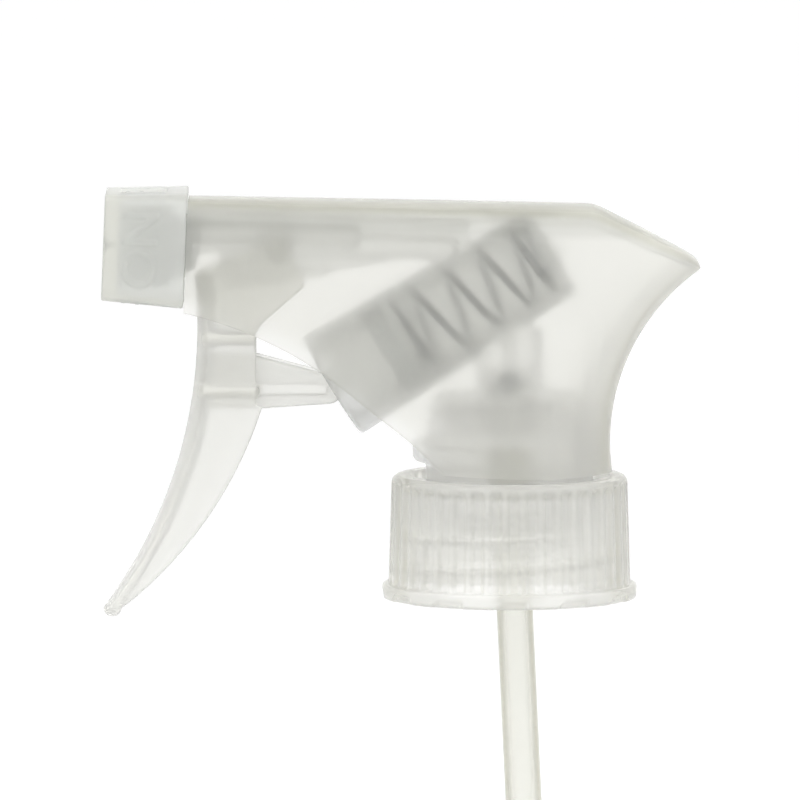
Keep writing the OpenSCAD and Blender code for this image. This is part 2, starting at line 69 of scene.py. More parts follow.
print("CAD box in mm:", [[round(v / MM, 1) for v in corner] for corner in cad_box])

# %% [markdown]
# ## Camera
#
# A sprayer is drawn from its side, so the camera looks along +Y from a little above. It stands far
# off with a long lens, which keeps the cap's front and back rims nearly the same width.

# %% Camera
view_centre = Vector((-14.7, 0, 26.56)) * MM
camera_distance = 2.0
camera_rise = math.radians(5.5)
focal_length = 670.7

camera = bpy.data.objects.new("camera", bpy.data.cameras.new("camera"))
bpy.context.scene.collection.objects.link(camera)
bpy.context.scene.camera = camera
camera.data.sensor_width = 36
camera.data.lens = focal_length
camera.data.clip_end = 40
camera.location = view_centre + camera_distance * Vector((0, -math.cos(camera_rise), math.sin(camera_rise)))
camera.rotation_euler = (math.pi / 2 - camera_rise, 0, 0)
print("camera at", [round(v, 3) for v in camera.location])

# %% [markdown]
# ## Studio
#
# See-through plastic shows whatever is behind it, so the studio is part of the material. The world
# is white to the camera, and to rays that plastic has let through, apart from the two sides, which
# are dimmer and so draw the edges. Reflections see a dimmer ceiling too. For plain scattered light
# the world is even, and three soft lamps make up the rest, so that the surfaces keep their form.
# The floor is pale, and it keeps the object's shadow.

# %% Shader helpers
def new_material(name):
    """A new material, its node tree and its Principled shader."""
    material = bpy.data.materials.new(name)
    material.use_nodes = True
    tree = material.node_tree
    return material, tree, tree.nodes["Principled BSDF"]


def math_node(tree, operation, *values):
    node = tree.nodes.new("ShaderNodeMath")
    node.operation = operation
    for socket, value in zip(node.inputs, values):
        if isinstance(value, (int, float)):
            socket.default_value = value
        else:
            tree.links.new(value, socket)
    return node.outputs[0]


def ray_is(tree, kind):
    """1 for rays of one kind, such as Camera."""
    return tree.nodes.new("ShaderNodeLightPath").outputs["Is " + kind + " Ray"]


def seen_through_plastic(tree):
    """1 for rays from the camera, and for rays reflected or let through by a surface."""
    either = math_node(tree, "MAXIMUM", ray_is(tree, "Camera"), ray_is(tree, "Glossy"))
    return math_node(tree, "MAXIMUM", either, ray_is(tree, "Transmission"))


def part_of(tree, vector, axis):
    """One coordinate of a vector."""
    parts = tree.nodes.new("ShaderNodeSeparateXYZ")
    tree.links.new(vector, parts.inputs[0])
    return parts.outputs[axis]


def smooth_step(tree, value, low, high, at_low=0.0, at_high=1.0):
    """at_low below low, at_high above high, and a smooth rise or fall between them."""
    node = tree.nodes.new("ShaderNodeMapRange")
    node.interpolation_type = "SMOOTHSTEP"
    tree.links.new(value, node.inputs["Value"])
    for socket, number in (("From Min", low), ("From Max", high), ("To Min", at_low), ("To Max", at_high)):
        node.inputs[socket].default_value = number
    return node.outputs["Result"]


# %% World
ambient_strength = 0.84
ceiling_strength = 0.4
left_strength = 0.45
right_strength = 0.6

world = bpy.data.worlds.new("studio_white")
bpy.context.scene.world = world
world.use_nodes = True
background = world.node_tree.nodes["Background"]
background.inputs["Color"].default_value = (1, 1, 1, 1)
tree = world.node_tree
look = tree.nodes.new("ShaderNodeTexCoord").outputs["Generated"]
upward = smooth_step(tree, part_of(tree, look, "Z"), 0.08, 0.6, 1.0, ceiling_strength)
ceiling = math_node(tree, "MAXIMUM", upward, ray_is(tree, "Transmission"))
left_side = smooth_step(tree, part_of(tree, look, "X"), -0.9, -0.35, left_strength, 1.0)
right_side = smooth_step(tree, part_of(tree, look, "X"), 0.5, 0.95, 1.0, right_strength)
around = math_node(tree, "MULTIPLY", ceiling, math_node(tree, "MULTIPLY", left_side, right_side))
studio = math_node(tree, "MAXIMUM", around, ray_is(tree, "Camera"))
seen = math_node(tree, "SUBTRACT", studio, ambient_strength)
lift = math_node(tree, "MULTIPLY", seen_through_plastic(tree), seen)
tree.links.new(math_node(tree, "ADD", lift, ambient_strength), background.inputs["Strength"])
bpy.context.scene.view_settings.view_transform = "Standard"
print("world's even light:", ambient_strength)

# %% Floor
floor_drop = 4 * MM
floor_half = 6.0
floor_white = 0.8
floor_glow = 1 - floor_white * ambient_strength

floor_mesh = bpy.data.meshes.new("floor")
floor_z = cad_box[0].z - floor_drop
floor_mesh.from_pydata(
    [(x * floor_half, y * floor_half, floor_z) for x, y in ((-1, -1), (1, -1), (1, 1), (-1, 1))],
    [], [(0, 1, 2, 3)],
)
floor = bpy.data.objects.new("floor", floor_mesh)
bpy.context.scene.collection.objects.link(floor)
floor_paint, tree, paint = new_material("floor_paint")
paint.inputs["Base Color"].default_value = (floor_white, floor_white, floor_white, 1)
paint.inputs["Roughness"].default_value = 0.9
paint.inputs["Specular IOR Level"].default_value = 0.0
paint.inputs["Emission Color"].default_value = (1, 1, 1, 1)
place = part_of(tree, tree.nodes.new("ShaderNodeTexCoord").outputs["Object"], "X")
left_floor = smooth_step(tree, place, -1.4, -0.5, 0.0, floor_glow)
right_floor = smooth_step(tree, place, 0.8, 1.8, floor_glow, 0.5 * floor_glow)
camera_glow = math_node(tree, "MULTIPLY", ray_is(tree, "Camera"), floor_glow)
side_glow = math_node(tree, "MAXIMUM", math_node(tree, "MINIMUM", left_floor, right_floor), camera_glow)
glow = math_node(tree, "MULTIPLY", seen_through_plastic(tree), side_glow)
tree.links.new(glow, paint.inputs["Emission Strength"])
floor.data.materials.append(floor_paint)
print("floor at z", round(floor_z / MM, 1), "mm")

# %% Lamps
def soft_lamp(name, azimuth, rise, distance, size, power):
    """Square area lamp that faces the object's middle."""
    lamp = bpy.data.objects.new(name, bpy.data.lights.new(name, "AREA"))
    lamp.data.size = size
    lamp.data.energy = power
    turn, lift_angle = math.radians(azimuth), math.radians(rise)
    away = Vector((
        math.sin(turn) * math.cos(lift_angle),
        -math.cos(turn) * math.cos(lift_angle),
        math.sin(lift_angle),
    ))
    lamp.location = view_centre + away * distance
    lamp.rotation_mode = "QUATERNION"
    lamp.rotation_quaternion = away.to_track_quat("Z", "Y")
    lamp.visible_camera = False
    lamp.visible_transmission = False
    bpy.context.scene.collection.objects.link(lamp)
    return lamp


lamps = [
    soft_lamp("key_lamp", azimuth=-38, rise=42, distance=1.2, size=0.7, power=4.0),
    soft_lamp("fill_lamp", azimuth=55, rise=20, distance=1.3, size=0.9, power=2.0),
    soft_lamp("rim_lamp", azimuth=165, rise=35, distance=1.3, size=0.8, power=2.5),
]
print("lamps:", {lamp.name: lamp.data.energy for lamp in lamps})

# %% Light paths
light_bounces = 32
for limit in ("max_bounces", "transmission_bounces", "glossy_bounces", "transparent_max_bounces"):
    setattr(bpy.context.scene.cycles, limit, light_bounces)
bpy.context.scene.cycles.diffuse_bounces = 8
print("a ray may cross", light_bounces, "surfaces")

# %% [markdown]
# ## Shared finishes
#
# Moulded polypropylene is never quite even: the mould's skin leaves a fine haze, the melt leaves
# long faint flow lines, and handling leaves light scuffs. Each of these is built once as a shader
# node group, and every plastic places the groups with its own values. Noise on object coordinates
# stays fixed to the piece, and its scale is in turns per metre, so 2000 means half a millimetre.

# %% Node group helpers
def start_group(name, inputs, outputs):
    """New shader node group. Inputs are (name, default) numbers, outputs are names of numbers."""
    group = bpy.data.node_groups.new(name, "ShaderNodeTree")
    for input_name, default in inputs:
        socket = group.interface.new_socket(input_name, in_out="INPUT", socket_type="NodeSocketFloat")
        socket.default_value = default
    for output_name in outputs:
        group.interface.new_socket(output_name, in_out="OUTPUT", socket_type="NodeSocketFloat")
    return group, group.nodes.new("NodeGroupInput"), group.nodes.new("NodeGroupOutput")


def object_noise(tree, scale, detail, stretch=None):
    """Noise on object coordinates, from 0 to 1, drawn out along the axes by stretch."""
    place = tree.nodes.new("ShaderNodeTexCoord")
    noise = tree.nodes.new("ShaderNodeTexNoise")
    noise.inputs["Detail"].default_value = detail
    if stretch is None:
        tree.links.new(place.outputs["Object"], noise.inputs["Vector"])
    else:
        mapping = tree.nodes.new("ShaderNodeMapping")
        mapping.inputs["Scale"].default_value = stretch
        tree.links.new(place.outputs["Object"], mapping.inputs["Vector"])
        tree.links.new(mapping.outputs["Vector"], noise.inputs["Vector"])
    if isinstance(scale, (int, float)):
        noise.inputs["Scale"].default_value = scale
    else:
        tree.links.new(scale, noise.inputs["Scale"])
    return noise.outputs["Fac"]


# %% Mould haze group
def build_mould_haze():
    """Uneven roughness, a fine grain for the bump, and soft clouds."""
    group, given, result = start_group(
        "mould_haze",
        [("Roughness", 0.25), ("Spread", 0.08), ("Cloud scale", 160), ("Grain scale", 2600)],
        ["Roughness", "Grain", "Cloud"],
    )
    cloud = object_noise(group, given.outputs["Cloud scale"], 2)
    grain = object_noise(group, given.outputs["Grain scale"], 1)
    centred = math_node(group, "SUBTRACT", cloud, 0.5)
    uneven = math_node(group, "MULTIPLY", centred, given.outputs["Spread"])
    group.links.new(math_node(group, "ADD", uneven, given.outputs["Roughness"]), result.inputs["Roughness"])
    group.links.new(grain, result.inputs["Grain"])
    group.links.new(cloud, result.inputs["Cloud"])
    return group


mould_haze = build_mould_haze()
print("mould haze group:", len(mould_haze.nodes), "nodes")

# %% Flow lines group
def build_flow_lines():
    """Long soft streaks along the spray axis, where the melt ran through the mould."""
    group, given, result = start_group("flow_lines", [("Strength", 1.0)], ["Mask"])
    streaks = object_noise(group, 90, 3, stretch=(0.25, 2.5, 2.5))
    sharp = math_node(group, "SMOOTH_MIN", math_node(group, "POWER", streaks, 3.0), 0.6, 0.1)
    group.links.new(math_node(group, "MULTIPLY", sharp, given.outputs["Strength"]), result.inputs["Mask"])
    return group


flow_lines = build_flow_lines()
print("flow lines group:", len(flow_lines.nodes), "nodes")

# %% Scuffs group
def build_scuffs():
    """Short fine scratches in two directions, only in some patches."""
    group, given, result = start_group("scuffs", [("Amount", 0.5)], ["Mask"])
    patches = math_node(group, "GREATER_THAN", object_noise(group, 70, 2), 0.56)
    across = math_node(group, "GREATER_THAN", object_noise(group, 900, 2, stretch=(0.12, 1, 2.4)), 0.69)
    along = math_node(group, "GREATER_THAN", object_noise(group, 1100, 2, stretch=(2.2, 1, 0.15)), 0.7)
    scratches = math_node(group, "MULTIPLY", math_node(group, "MAXIMUM", across, along), patches)
    group.links.new(math_node(group, "MULTIPLY", scratches, given.outputs["Amount"]), result.inputs["Mask"])
    return group


scuffs = build_scuffs()
print("scuffs group:", len(scuffs.nodes), "nodes")

# %% Painted shade band group
def build_painted_shade_band():
    """1 above a sloping line in the side view, 0 below it: the band that gets a painted shade."""
    inputs = [("Slope", 0.0), ("Height", 0.0), ("Fade", 1 * MM)]
    group, given, result = start_group("painted_shade_band", inputs, ["Mask"])
    # painted shade: the band this marks gets a darker base colour, standing in for a wall seen end on
    place = group.nodes.new("ShaderNodeTexCoord").outputs["Object"]
    climb = math_node(group, "MULTIPLY", part_of(group, place, "X"), given.outputs["Slope"])
    line = math_node(group, "ADD", climb, given.outputs["Height"])
    over = math_node(group, "SUBTRACT", part_of(group, place, "Z"), line)
    share = math_node(group, "DIVIDE", over, given.outputs["Fade"])
    clamped = math_node(group, "MINIMUM", math_node(group, "MAXIMUM", share, 0.0), 1.0)
    group.links.new(clamped, result.inputs["Mask"])
    return group


painted_shade_band = build_painted_shade_band()
print("above a line group:", len(painted_shade_band.nodes), "nodes")

# %% [markdown]
# ## See-through plastics
#
# The Principled shader is mostly Transmission here. Its roughness blurs what lies behind the wall,
# more the further away it is, as frosted plastic does. What isn't let through is scattered by the
# base colour, which gives the milky veil. A Volume Absorption node takes a little light for every
# millimetre inside the wall, so edges and ribs that are seen end on turn darker by themselves. All
# the walls are closed solids, or the volume would leak. Part of the light goes straight through,
# which is what makes a thin moulding look hazy and not frosted. Along the roof and round the pump
# cylinder the base colour is darker above a sloping line: a painted shade for the light that a wall
# seen end on takes away there.

# %% Material helpers
grain_depth = 0.02


def colour_mix(tree, first, second, mask):
    """From the first colour, which may be a socket, to the second as the mask goes from 0 to 1."""
    mix = tree.nodes.new("ShaderNodeMix")
    mix.data_type = "RGBA"
    if isinstance(first, tuple):
        mix.inputs["A"].default_value = (*first, 1)
    else:
        tree.links.new(first, mix.inputs["A"])
    mix.inputs["B"].default_value = (*second, 1)
    tree.links.new(mask, mix.inputs["Factor"])
    return mix.outputs["Result"]


def fine_bump(tree, height, strength):
    """Gives the surface a fine grain."""
    bump = tree.nodes.new("ShaderNodeBump")
    bump.inputs["Strength"].default_value = strength
    bump.inputs["Distance"].default_value = grain_depth * MM
    tree.links.new(height, bump.inputs["Height"])
    tree.links.new(bump.outputs["Normal"], tree.nodes["Principled BSDF"].inputs["Normal"])


def add_group(tree, group, **values):
    node = tree.nodes.new("ShaderNodeGroup")
    node.node_tree = group
    for name, value in values.items():
        node.inputs[name.replace("_", " ")].default_value = value
    return node


# %% Clear plastic
melt_colour = (0.93, 0.928, 0.9)
plastic_ior = 1.47
streak_shade = 0.94


def clear_plastic(name, veil, rough, through, straight, density=0, skin=False, shine=0.5):
    """Natural polypropylene: veil is the milky colour, straight the share of light that isn't bent at
    all, and density the light taken per metre of wall. Outer pieces get a worn skin as well."""
    material, tree, bsdf = new_material(name)
    bsdf.inputs["IOR"].default_value = plastic_ior
    bsdf.inputs["Transmission Weight"].default_value = through
    bsdf.inputs["Alpha"].default_value = 1 - straight
    bsdf.inputs["Specular IOR Level"].default_value = shine
    haze = add_group(tree, mould_haze, Roughness=rough, Spread=0.05)
    roughness, streaks = haze.outputs["Roughness"], haze.outputs["Cloud"]
    if skin:
        streaks = add_group(tree, flow_lines, Strength=0.6).outputs["Mask"]
        worn = add_group(tree, scuffs, Amount=0.06)
        roughness = math_node(tree, "ADD", roughness, worn.outputs["Mask"])
        fine_bump(tree, haze.outputs["Grain"], 0.25)
    streak_colour = [channel * streak_shade for channel in veil]
    tree.links.new(colour_mix(tree, veil, streak_colour, streaks), bsdf.inputs["Base Color"])
    tree.links.new(roughness, bsdf.inputs["Roughness"])
    if density:
        absorb = tree.nodes.new("ShaderNodeVolumeAbsorption")
        absorb.inputs["Color"].default_value = (*melt_colour, 1)
        absorb.inputs["Density"].default_value = density
        tree.links.new(absorb.outputs["Volume"], tree.nodes["Material Output"].inputs["Volume"])
    return material


# %% Each piece's plastic
shroud_plastic = clear_plastic(
    "shroud_plastic", veil=(0.985, 0.985, 0.97), rough=0.33, through=0.88, straight=0.46, density=560,
    skin=True, shine=0.2,
)
pump_plastic = clear_plastic(
    "pump_plastic", veil=(0.985, 0.985, 0.975), rough=0.33, through=0.74, straight=0.52,
)
lever_plastic = clear_plastic(
    "lever_plastic", veil=(0.985, 0.985, 0.965), rough=0.33, through=0.74, straight=0.26, density=200,
    skin=True, shine=0.3,
)
nozzle_plastic = clear_plastic(
    "nozzle_plastic", veil=(0.93, 0.94, 0.92), rough=0.34, through=0.62, straight=0.22, density=260,
    skin=True, shine=0.25,
)
cap_plastic = clear_plastic(
    "cap_plastic", veil=(0.985, 0.985, 0.965), rough=0.16, through=0.56, straight=0.38, density=320,
    skin=True, shine=0.3,
)
tube_plastic = clear_plastic(
    "tube_plastic", veil=(0.985, 0.99, 0.972), rough=0.12, through=0.92, straight=0.6, density=2100,
)
inner_plastic = clear_plastic(
    "inner_plastic", veil=(0.98, 0.985, 0.97), rough=0.33, through=0.9, straight=0.65,
)
seal_rubber = clear_plastic("seal_rubber", veil=(0.93, 0.95, 0.95), rough=0.5, through=0.7, straight=0.5)
gasket_foam = clear_plastic("gasket_foam", veil=(0.985, 0.985, 0.97), rough=0.6, through=0.8, straight=0.65)
print("materials so far:", len(bpy.data.materials))

# %% Painted shade above a line
def paint_shade_above_line(material, shade_colour, **line):
    """Paints a darker shade into a plastic's base colour above a sloping line."""
    tree = material.node_tree
    colour = tree.nodes["Principled BSDF"].inputs["Base Color"]
    mask = add_group(tree, painted_shade_band, **line).outputs["Mask"]
    tree.links.new(colour_mix(tree, colour.links[0].from_socket, shade_colour, mask), colour)


pump_tilt = math.radians(31.5)
roof_fall = 0.0222
cylinder_shade_line_z = 33.8 * MM
roof_shade_line_z = 48.9 * MM
# painted shade: a darker base colour on the pump cylinder's upper wall and along the shroud's roof
paint_shade_above_line(pump_plastic, (0.76, 0.765, 0.745), Slope=math.tan(pump_tilt), Height=cylinder_shade_line_z, Fade=1.4 * MM)
paint_shade_above_line(shroud_plastic, (0.8, 0.805, 0.785), Slope=-roof_fall, Height=roof_shade_line_z, Fade=1.0 * MM)
print("deeper tints:", pump_plastic.name, shroud_plastic.name)

# %% [markdown]
# Only the return spring and the check ball are steel: dull drawn wire and a brighter ground ball.
# Clouds of a darker tone and the same uneven haze keep either from being one flat grey.

# %% Steel
def steel(name, bright, dark, rough, cloud_scale):
    material, tree, bsdf = new_material(name)
    bsdf.inputs["Metallic"].default_value = 1.0
    clouds = object_noise(tree, cloud_scale, 4)
    tree.links.new(colour_mix(tree, bright, dark, clouds), bsdf.inputs["Base Color"])
    haze = add_group(tree, mould_haze, Roughness=rough, Spread=rough * 0.6, Grain_scale=3000)
    tree.links.new(haze.outputs["Roughness"], bsdf.inputs["Roughness"])
    fine_bump(tree, haze.outputs["Grain"], 0.2)
    return material


spring_wire = steel("spring_wire", (0.40, 0.41, 0.42), (0.28, 0.29, 0.3), rough=0.35, cloud_scale=1200)
ball_steel = steel("ball_steel", (0.5, 0.51, 0.52), (0.42, 0.43, 0.44), rough=0.15, cloud_scale=900)
print("steels:", spring_wire.name, ball_steel.name)

# %% [markdown]
# ## Making pieces
#
# A few helpers serve every piece. One turns a list of rings into a skin, one puts an object's
# modifiers into a plain mesh, one rounds the edges of a CAD solid's copy, and one gives a piece its
# body, its finish and the CAD node it stands for. The pump's axis is tilted, so a matrix puts a
# piece that was made upright into its place.

# %% Axes of the pump and of the nozzle
spray_tilt = math.radians(2.3)
pump_mouth = Vector((-23.85, 0, 28.5)) * MM
spray_root = Vector((-43.3, 0, 47.15)) * MM

pump_frame = Matrix.Translation(pump_mouth) @ Matrix.Rotation(math.pi / 2 - pump_tilt, 4, "Y")
spray_frame = Matrix.Translation(spray_root) @ Matrix.Rotation(spray_tilt - math.pi / 2, 4, "Y")

# %% Piece helpers
def mesh_object(name, mesh):
    made = bpy.data.objects.new(name, mesh)
    bpy.context.scene.collection.objects.link(made)
    return made


def ring_skin(name, rings, closed=True):
    """Mesh of quads through rings of equally many points, in millimetres."""
    count = len(rings[0])
    faces = []
    for j in range(len(rings) - 1):
        for i in range(count if closed else count - 1):
            k = (i + 1) % count
            faces.append((j * count + i, j * count + k, (j + 1) * count + k, (j + 1) * count + i))
    mesh = bpy.data.meshes.new(name)
    mesh.from_pydata([Vector(point) * MM for ring in rings for point in ring], [], faces)
    return mesh


def baked(piece):
    """Replaces a piece's modifiers with the mesh they make."""
    graph = bpy.context.evaluated_depsgraph_get()
    mesh = bpy.data.meshes.new_from_object(piece.evaluated_get(graph))
    piece.modifiers.clear()
    piece.data = mesh
    return piece


def finished(piece, body, material, node_name):
    """Smooth shading, finish, body and replaced node of a piece whose mesh is final."""
    piece.data.shade_smooth()
    piece.data.materials.clear()
    piece.data.materials.append(material)
    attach(piece, body)
    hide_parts(node_name)
    piece.data.calc_loop_triangles()
    print(piece.name, "rides on", body, "with", len(piece.data.loop_triangles), "triangles")


def soft_edged_copy(name, node_name, voxel, passes, added=(), reshape=None):
    """Copy of a CAD node, remeshed finely and smoothed a little, so that its edges look moulded."""
    mesh = nodes[node_name].data.copy()
    if reshape:
        reshape(mesh)
    copy_bm = bmesh.new()
    copy_bm.from_mesh(mesh)
    bmesh.ops.remove_doubles(copy_bm, verts=copy_bm.verts, dist=0.001 * MM)
    for extra in added:
        copy_bm.from_mesh(extra)
    copy_bm.to_mesh(mesh)
    copy_bm.free()
    piece = mesh_object(name, mesh)
    remesh = piece.modifiers.new("voxels", "REMESH")
    remesh.mode = "VOXEL"
    remesh.voxel_size = voxel * MM
    soften = piece.modifiers.new("soften", "SMOOTH")
    soften.factor = 0.5
    soften.iterations = passes
    return baked(piece)


# %% [markdown]
# ## Shroud
#
# The shroud is a thin moulded shell: a flat roof that breaks into a sloped facet, a hollow curve
# down the back to a round foot, and an open, bowed underside. Its side view and its width are two
# sets of formulas, so a loft through sloping slices gives the outer skin, and Solidify then adds
# the wall on the inside. That keeps the wall even, which matters because every difference in
# thickness would show as a shade.

# %% Shroud's side view and widths
front_x = -43.3
top_front_z = 53.7
crease_x = 11.4
facet_slope = 0.489
tail_x = 25.7
foot_z = 17.1
foot_lift = 0.35
foot_r = 13.5
back_arc_r = 28.4
back_mid_z = 21.0
foot_top = 20.8
head_low = 44.0
roof_edge_r = 2.4
front_half_w = 7.6
head_half_w = 9.6
shroud_wall = 1.1
crease_blend = 0.45
bow_r = 54
bow_x = -55.4
bow_z = -13.8
belly_corners = ((-25.4, 31.2), (-13.1, 21.5), (-9.1, foot_z + foot_lift))
foot_flat_x = 4
swell_power = 1.2
waist_power = 1.4
foot_power = 8


def roof(x):
    """Height of the roof: two straight lines whose crease is slightly rounded."""
    flat = top_front_z - roof_fall * (x - front_x)
    sloped = top_front_z - roof_fall * (crease_x - front_x) - facet_slope * (x - crease_x)
    gap = abs(flat - sloped)
    return min(flat, sloped) - max(crease_blend - gap, 0) ** 2 / (4 * crease_blend)


def back(z):
    """How far the hollow back reaches out at a height."""
    return foot_r + back_arc_r - math.sqrt(back_arc_r ** 2 - (z - back_mid_z) ** 2)


def belly(x):
    """Height of the open underside's edge: a bow, then a straight slope down to the foot."""
    if x < belly_corners[0][0]:
        return max(bow_z + math.sqrt(bow_r ** 2 - (x - bow_x) ** 2), foot_z)
    for (x0, z0), (x1, z1) in zip(belly_corners, belly_corners[1:]):
        if x <= x1:
            return z0 + (z1 - z0) * (x - x0) / (x1 - x0)
    fall = (foot_flat_x - x) / (foot_flat_x - belly_corners[-1][0])
    return foot_z + foot_lift * min(max(fall, 0), 1)


def half_width(x, z):
    """Half the width: the head's above, and a blend into the round foot's below."""
    along = min(max((x - front_x) / (0 - front_x), 0), 1)
    head = front_half_w + (head_half_w - front_half_w) * math.sin(math.pi / 2 * along) ** swell_power
    foot = math.sqrt(max(foot_r ** 2 - min(x, 0) ** 2, 0))
    low = min(max((head_low - z) / (head_low - foot_top), 0), 1) ** waist_power
    return head * (1 - low) + (head ** foot_power + foot ** foot_power) ** (1 / foot_power) * low


print("shroud roof and belly at the front:", round(roof(front_x), 2), round(belly(front_x), 2))

# %% Shroud's skin
slices = 44
edge_slices = 8
side_points = 40
round_points = 28
loft_from = front_x - 1
round_from_x = 6
tail_shrink = 0.6


def slice_back(share):
    """Where a slice, at a share of the way up from the foot, meets the shroud's back."""
    x = tail_x
    for _ in range(8):
        z = foot_z + (roof(x) - foot_z) * share
        x = min(back(min(z, back_mid_z + back_arc_r - 1)), tail_x)
    return x


def shroud_ring(share, wall_top, shrink):
    """One ring round the shroud. Its front part starts at the belly's edge, not at the foot."""
    def rise(x):
        lowest = (belly(x) - foot_z) / (roof(x) - foot_z)
        return lowest + (wall_top - lowest) * share if share < 1 else wall_top

    nominal = wall_top * share
    far_x = slice_back(nominal)
    mid_x = round_from_x * nominal
    half = []
    for i in range(side_points):
        x = loft_from + (mid_x - loft_from) * i / side_points
        z = foot_z + (roof(x) - foot_z) * rise(x)
        half.append((x, half_width(x, z) - shrink, z))
    for i in range(round_points + 1):
        angle = math.pi / 2 * i / round_points
        x = mid_x + (far_x - shrink * tail_shrink - mid_x) * math.sin(angle)
        z = foot_z + (roof(x) - foot_z) * rise(x)
        half.append((x, (half_width(mid_x, z) - shrink) * math.cos(angle), z))
    return half + [(x, -y, z) for x, y, z in reversed(half[:-1])]


def build_shroud():
    wall_top = 1 - roof_edge_r / (top_front_z - foot_z)
    rings = [shroud_ring(i / slices, wall_top, 0) for i in range(slices + 1)]
    for i in range(1, edge_slices + 1):
        angle = math.pi / 2 * i / edge_slices
        top = wall_top + (1 - wall_top) * math.sin(angle)
        rings.append(shroud_ring(1, top, roof_edge_r * (1 - math.cos(angle))))
    count = len(rings[-1])
    mesh = ring_skin("shroud_shell", rings, closed=False)
    shell_bm = bmesh.new()
    shell_bm.from_mesh(mesh)
    shell_bm.verts.ensure_lookup_table()
    start = (len(rings) - 1) * count
    # the roof: quads across from one side of the last ring to the other
    for i in range((count - 1) // 2 - 1):
        corners = [start + i, start + i + 1, start + count - 2 - i, start + count - 1 - i]
        shell_bm.faces.new([shell_bm.verts[c] for c in corners])
    middle = (count - 1) // 2
    shell_bm.faces.new([shell_bm.verts[start + middle + k] for k in (-1, 0, 1)])
    bmesh.ops.remove_doubles(shell_bm, verts=shell_bm.verts, dist=0.002 * MM)
    bmesh.ops.recalc_face_normals(shell_bm, faces=shell_bm.faces)
    # the front is cut square to the spray axis, an even gap behind the nozzle
    bmesh.ops.bisect_plane(
        shell_bm, geom=shell_bm.verts[:] + shell_bm.edges[:] + shell_bm.faces[:],
        plane_co=spray_root, plane_no=spray_frame.to_3x3() @ Vector((0, 0, 1)), clear_outer=True,
    )
    top_face = max(shell_bm.faces, key=lambda f: f.calc_center_median().z)
    if top_face.normal.z < 0:
        bmesh.ops.reverse_faces(shell_bm, faces=shell_bm.faces)
    shell_bm.to_mesh(mesh)
    shell_bm.free()
    piece = mesh_object("shroud_shell", mesh)
    wall = piece.modifiers.new("wall", "SOLIDIFY")
    wall.thickness = shroud_wall * MM
    wall.offset = -1
    rim = piece.modifiers.new("rim", "BEVEL")
    rim.width = 0.2 * MM
    rim.segments = 2
    rim.limit_method = "ANGLE"
    rim.angle_limit = math.radians(60)
    finished(baked(piece), "head", shroud_plastic, "shroud")


build_shroud()

# %% [markdown]
# ## Screw cap
#
# The cap is a turned shape with forty grip ribs outside, a single screw thread inside and shallow
# notches under its flange. All three follow a rule round the axis, so Geometry Nodes push the
# surface of one plain turned blank in or out. Ribs, thread and wall are then one closed solid, and
# light goes through it without meeting a hidden joint. The blank marks where the ribs and the thread
# act with an attribute, from 0 to 1.

# %% Cap's blank
cap_h = 16.6
flange_r = 17.1
rim_h = 1.95
cap_foot_r = 16.25
cap_top_r = 15.85
cap_round = 1.1
neck_bore_r = 14.1
lip_r = 11.6
lip_top = 15.1
lip_under = 14.4
recess_r = 13.4
rib_count = 40
rib_depth = 0.75
columns = 480
grip_rows = 12
round_rows = 6
bore_rows = 76
thread_low = 1.2
thread_high = 9.6


def profile_rows():
    """The cap's wall as (radius, height, grip, thread), from the bore's foot round to the lip."""
    rows = [(neck_bore_r, 0.0, 0, 0)]
    rows += [(neck_bore_r + 0.3, 0.0, 0, 0), (flange_r - 0.35, 0.0, 0, 0), (flange_r - 0.1, 0.12, 0, 0)]
    rows += [(flange_r, z, 0, 0) for z in (0.4, 0.7, 0.95, 1.2, 1.6)]
    rows += [(flange_r - 0.08, 1.85, 0, 0), (flange_r - 0.3, rim_h, 0, 0), (cap_foot_r + 0.25, rim_h, 0, 0)]
    rows += [(cap_foot_r + 0.05, rim_h + 0.1, 0.3, 0), (cap_foot_r, rim_h + 0.3, 1, 0)]
    grip_top = cap_h - cap_round - 0.6
    for i in range(1, grip_rows + 1):
        z = rim_h + 0.3 + (grip_top - rim_h - 0.3) * i / grip_rows
        up = (z - rim_h) / (cap_h - cap_round - rim_h)
        rows.append((cap_foot_r + (cap_top_r - cap_foot_r) * up, z, 1, 0))
    rows += [(cap_top_r + 0.02, grip_top + 0.3, 0.7, 0), (cap_top_r, cap_h - cap_round, 0.3, 0)]
    centre_r, centre_z = cap_top_r - cap_round, cap_h - cap_round
    for i in range(1, round_rows + 1):
        angle = math.pi / 2 * i / round_rows
        rows.append((centre_r + cap_round * math.cos(angle), centre_z + cap_round * math.sin(angle), 0, 0))
    rows += [(recess_r + 0.15, cap_h, 0, 0), (recess_r, cap_h - 0.15, 0, 0), (recess_r, lip_top + 0.1, 0, 0)]
    rows += [(recess_r - 0.1, lip_top, 0, 0), (lip_r + 0.15, lip_top, 0, 0), (lip_r, lip_top - 0.12, 0, 0)]
    rows += [(lip_r, lip_under + 0.1, 0, 0), (lip_r + 0.1, lip_under, 0, 0)]
    rows += [(neck_bore_r - 0.2, lip_under, 0, 0), (neck_bore_r, lip_under - 0.2, 0, 0)]
    for i in range(1, bore_rows):
        z = (lip_under - 0.2) * (1 - i / bore_rows)
        rows.append((neck_bore_r, z, 0, 1 if thread_low < z < thread_high else 0))
    return rows


